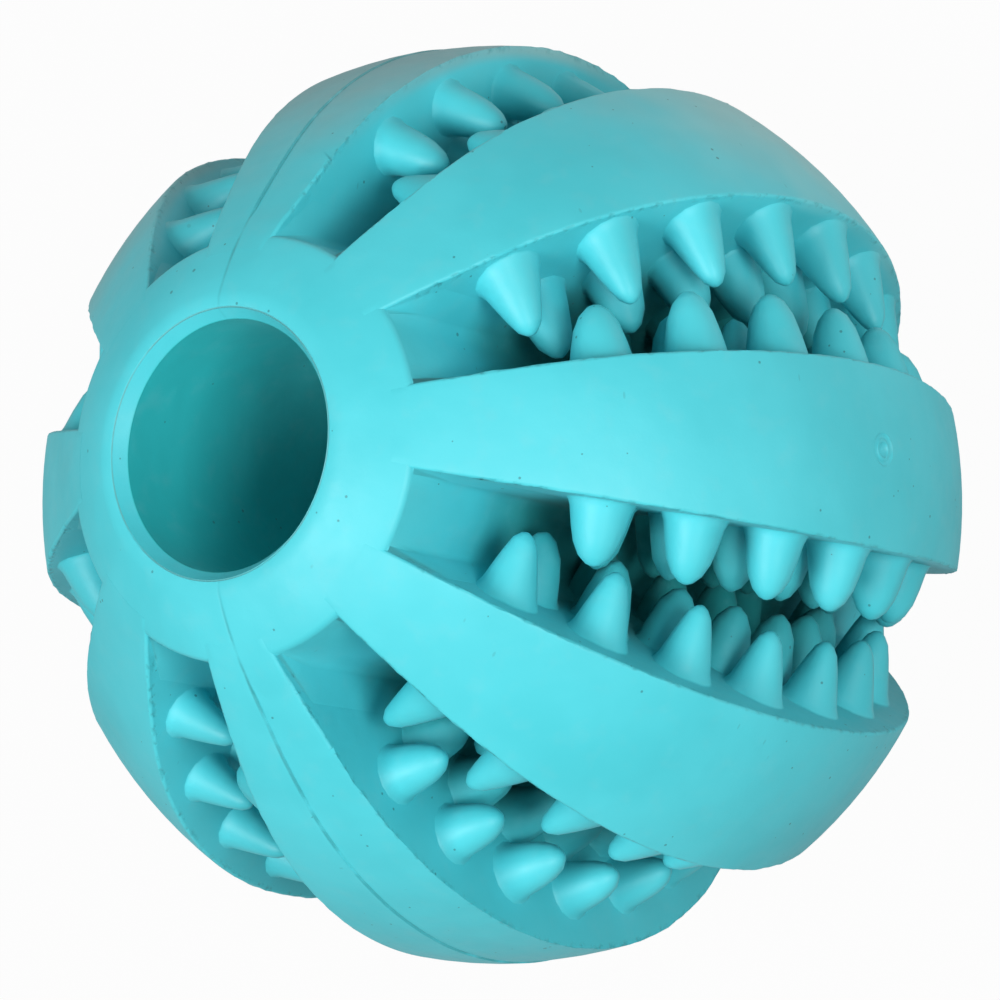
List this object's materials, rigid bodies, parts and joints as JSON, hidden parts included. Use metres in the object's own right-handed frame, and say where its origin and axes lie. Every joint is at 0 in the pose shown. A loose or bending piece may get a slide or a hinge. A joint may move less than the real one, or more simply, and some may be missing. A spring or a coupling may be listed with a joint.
{
  "type": "rubber chew ball",
  "caption": "Slotted rubber chew ball for dogs: ribs stand round a core tube with an open bore, and soft cleaning teeth line the slots for treats, paste and gnawing.",
  "frame": {"origin": "centre of the ball, half way along the bore", "axes": "+Z along the bore, out of the front mouth; +X through the middle of a seam rib"},
  "size_m": [0.07, 0.07, 0.0696],
  "materials": {
    "rubber": "satin turquoise moulded rubber"
  },
  "bodies": {
    "root": {"core_tube": "rubber", "front_collar": "rubber", "rear_collar": "rubber", "rib_1": "rubber", "rib_2": "rubber", "rib_3": "rubber", "rib_4": "rubber", "rib_5": "rubber", "rib_6": "rubber", "rib_7": "rubber", "rib_8": "rubber"}
  },
  "joints": []
}
